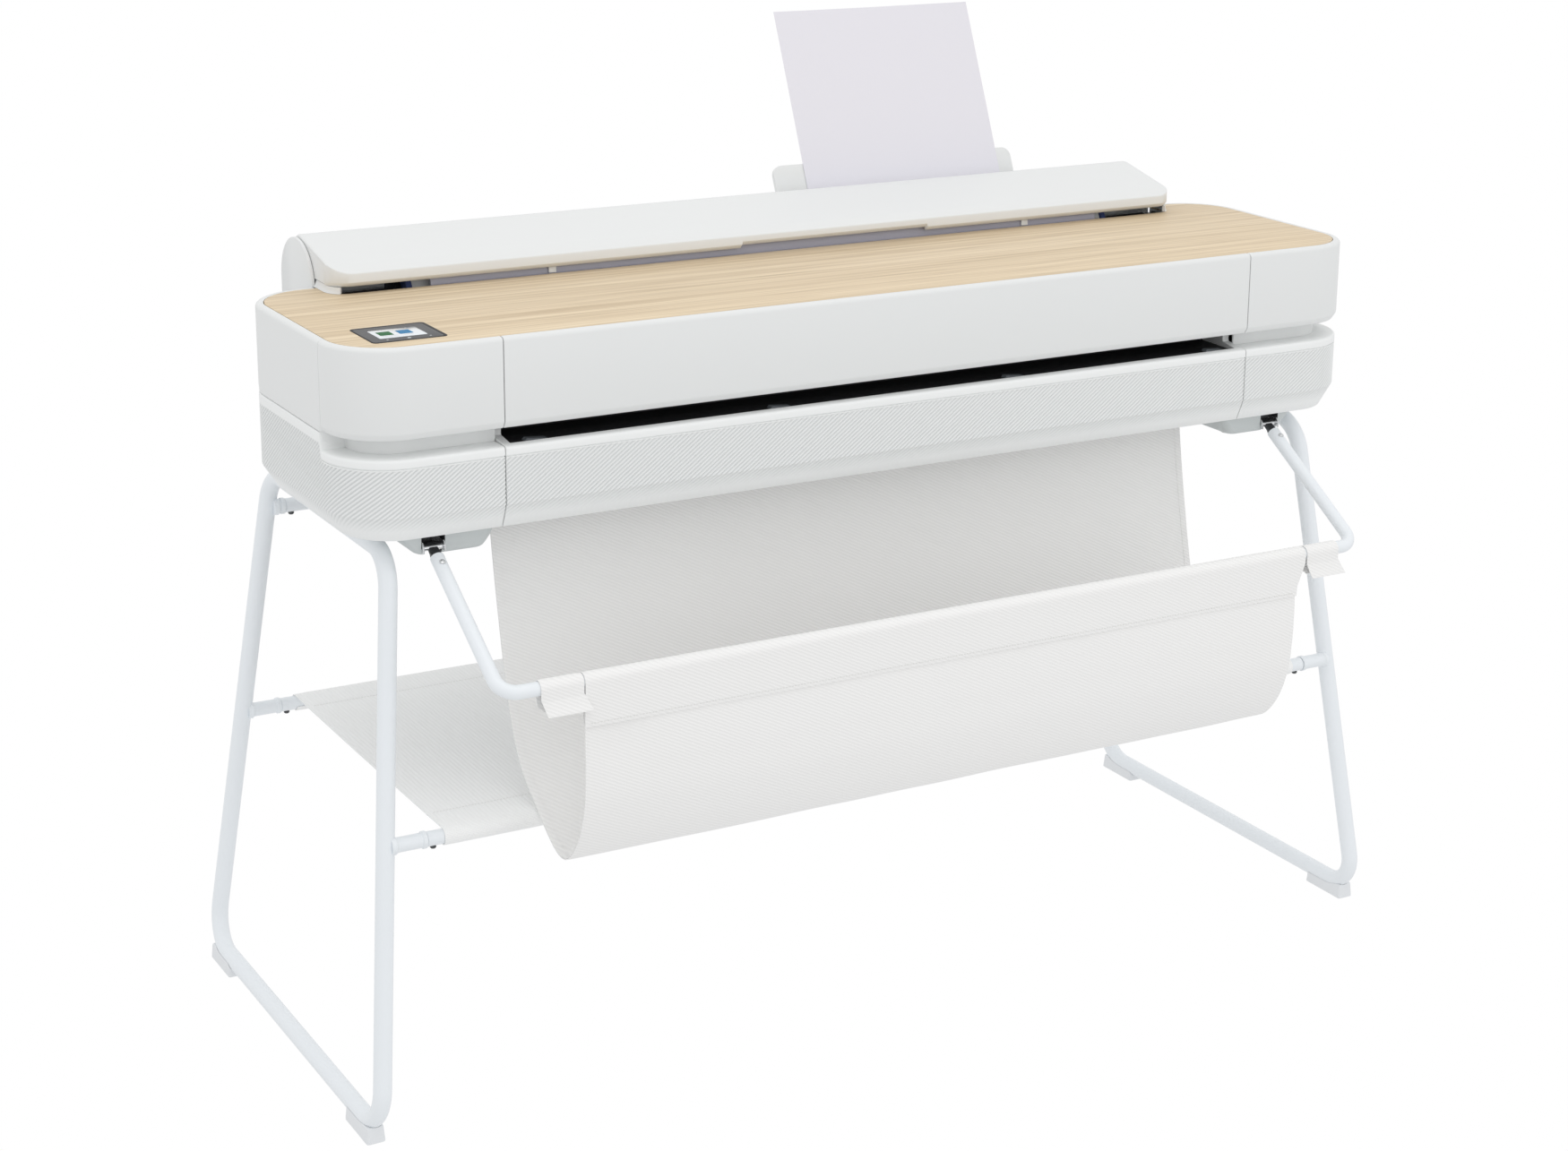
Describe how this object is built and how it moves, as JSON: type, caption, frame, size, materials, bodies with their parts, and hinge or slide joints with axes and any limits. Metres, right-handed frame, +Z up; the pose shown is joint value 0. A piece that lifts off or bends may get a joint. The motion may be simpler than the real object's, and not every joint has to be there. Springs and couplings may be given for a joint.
{
  "type": "large format plotter",
  "caption": "Wide roll-fed plotter with a wood-faced top, a hinged roll cover, a loaded sheet, a swinging fabric basket, a fabric shelf and two leaning tube side frames.",
  "frame": {"origin": "on the floor under the middle of the whole machine", "axes": "+X to the right of someone standing in front, +Y to the back, +Z up; the front faces -Y"},
  "size_m": [1.317, 0.64, 1.0822],
  "materials": {
    "casing_white": "satin moulded",
    "frame_paint": "powder coated",
    "foot_plastic": "matte moulded",
    "oak_panel": "satin laminate",
    "basket_fabric": "twill weave",
    "dark_plastic": "matte moulded",
    "bezel_grey": "matte moulded",
    "screen": "gloss",
    "hinge_grey": "satin moulded",
    "rubber": "matte",
    "dark_steel": "dark plated",
    "sheet_steel": "galvanised",
    "aluminium": "extruded",
    "sheet_paper": "plain uncoated",
    "roll_paper": "plain uncoated",
    "hub_blue": "matte moulded",
    "smoked_guide": "smoked gloss",
    "cartridge_grey": "matte moulded"
  },
  "bodies": {
    "printer_and_stand": {"left_upper_side_casing": "casing_white", "right_upper_side_casing": "casing_white", "lower_front_panel": "casing_white", "left_lower_end_casing": "casing_white", "right_lower_end_casing": "casing_white", "top_deck": "casing_white", "rear_housing": "casing_white", "left_bay_end_cap": "casing_white", "right_bay_end_cap": "casing_white", "sheet_tray": "casing_white", "left_side_frame": "frame_paint", "right_side_frame": "frame_paint", "lower_front_rail": "frame_paint", "lower_rear_rail": "frame_paint", "upper_rear_rail": "frame_paint", "left_front_foot": "foot_plastic", "right_front_foot": "foot_plastic", "left_rear_foot": "foot_plastic", "right_rear_foot": "foot_plastic", "wood_top": "oak_panel", "shelf_sling": "basket_fabric", "basket_sling": "basket_fabric", "platen": "dark_plastic", "service_station": "dark_plastic", "power_inlet": "dark_plastic", "control_bezel": "bezel_grey", "touch_screen": "screen", "left_hinge_housing": "hinge_grey", "right_hinge_housing": "hinge_grey", "left_rubber_pad": "rubber", "right_rubber_pad": "rubber", "left_hinge_bracket": "dark_steel", "right_hinge_bracket": "dark_steel", "left_lower_front_screw": "dark_steel", "right_lower_front_screw": "dark_steel", "left_lower_rear_screw": "dark_steel", "right_lower_rear_screw": "dark_steel", "left_upper_rear_screw": "dark_steel", "right_upper_rear_screw": "dark_steel", "base_pan": "sheet_steel", "left_side_plate": "sheet_steel", "right_side_plate": "sheet_steel", "carriage_rail": "aluminium", "entry_guide": "smoked_guide", "left_ink_cartridge": "cartridge_grey", "right_ink_cartridge": "cartridge_grey"},
    "front_cover_body": {"front_cover": "casing_white"},
    "left_door_body": {"left_corner_door": "casing_white"},
    "right_door_body": {"right_corner_door": "casing_white"},
    "roll_cover_body": {"roll_cover": "casing_white"},
    "basket_bar_body": {"basket_bar": "frame_paint", "basket_hem": "basket_fabric"},
    "spindle_body": {"roll_spindle": "dark_plastic", "paper_roll": "roll_paper", "left_roll_hub": "hub_blue", "right_roll_hub": "hub_blue"},
    "feed_roller_body": {"feed_roller": "rubber"},
    "pinch_roller_body": {"pinch_roller": "rubber"},
    "carriage_body": {"print_carriage": "dark_plastic"},
    "sheet_body": {"loaded_sheet": "sheet_paper"}
  },
  "joints": [
    {"name": "front_cover_open", "type": "hinge", "parent": "printer_and_stand", "child": "front_cover_body", "pos_m": [0, -0.1695, 0.8366], "axis": [-1, 0, 0], "range_deg": [0, 80]},
    {"name": "left_door_open", "type": "hinge", "parent": "printer_and_stand", "child": "left_door_body", "pos_m": [-0.642, -0.1063, 0.79], "axis": [0, 0, -1], "range_deg": [0, 90]},
    {"name": "right_door_open", "type": "hinge", "parent": "printer_and_stand", "child": "right_door_body", "pos_m": [0.642, -0.1063, 0.79], "axis": [0, 0, 1], "range_deg": [0, 90]},
    {"name": "roll_cover_open", "type": "hinge", "parent": "printer_and_stand", "child": "roll_cover_body", "pos_m": [0, 0.184, 0.87], "axis": [-1, 0, 0], "range_deg": [0, 105]},
    {"name": "basket_swing", "type": "hinge", "parent": "printer_and_stand", "child": "basket_bar_body", "pos_m": [0, -0.1408, 0.6156], "axis": [1, 0, 0], "range_deg": [0, 45]},
    {"name": "roll_spin", "type": "hinge", "parent": "printer_and_stand", "child": "spindle_body", "pos_m": [0, 0.136, 0.82], "axis": [1, 0, 0], "continuous": true},
    {"name": "feed_spin", "type": "hinge", "parent": "printer_and_stand", "child": "feed_roller_body", "pos_m": [0, -0.025, 0.708], "axis": [1, 0, 0], "continuous": true},
    {"name": "pinch_spin", "type": "hinge", "parent": "printer_and_stand", "child": "pinch_roller_body", "pos_m": [0, -0.025, 0.7254], "axis": [1, 0, 0], "continuous": true},
    {"name": "carriage_travel", "type": "slide", "parent": "printer_and_stand", "child": "carriage_body", "axis": [1, 0, 0], "range_m": [-0.88, 0.03]},
    {"name": "sheet_draw", "type": "slide", "parent": "printer_and_stand", "child": "sheet_body", "axis": [0, 0.4067, 0.9135], "range_m": [0, 0.2]}
  ],
  "couplings": [
    {"joint": "pinch_spin", "follows": "feed_spin", "ratio": -2.4}
  ]
}
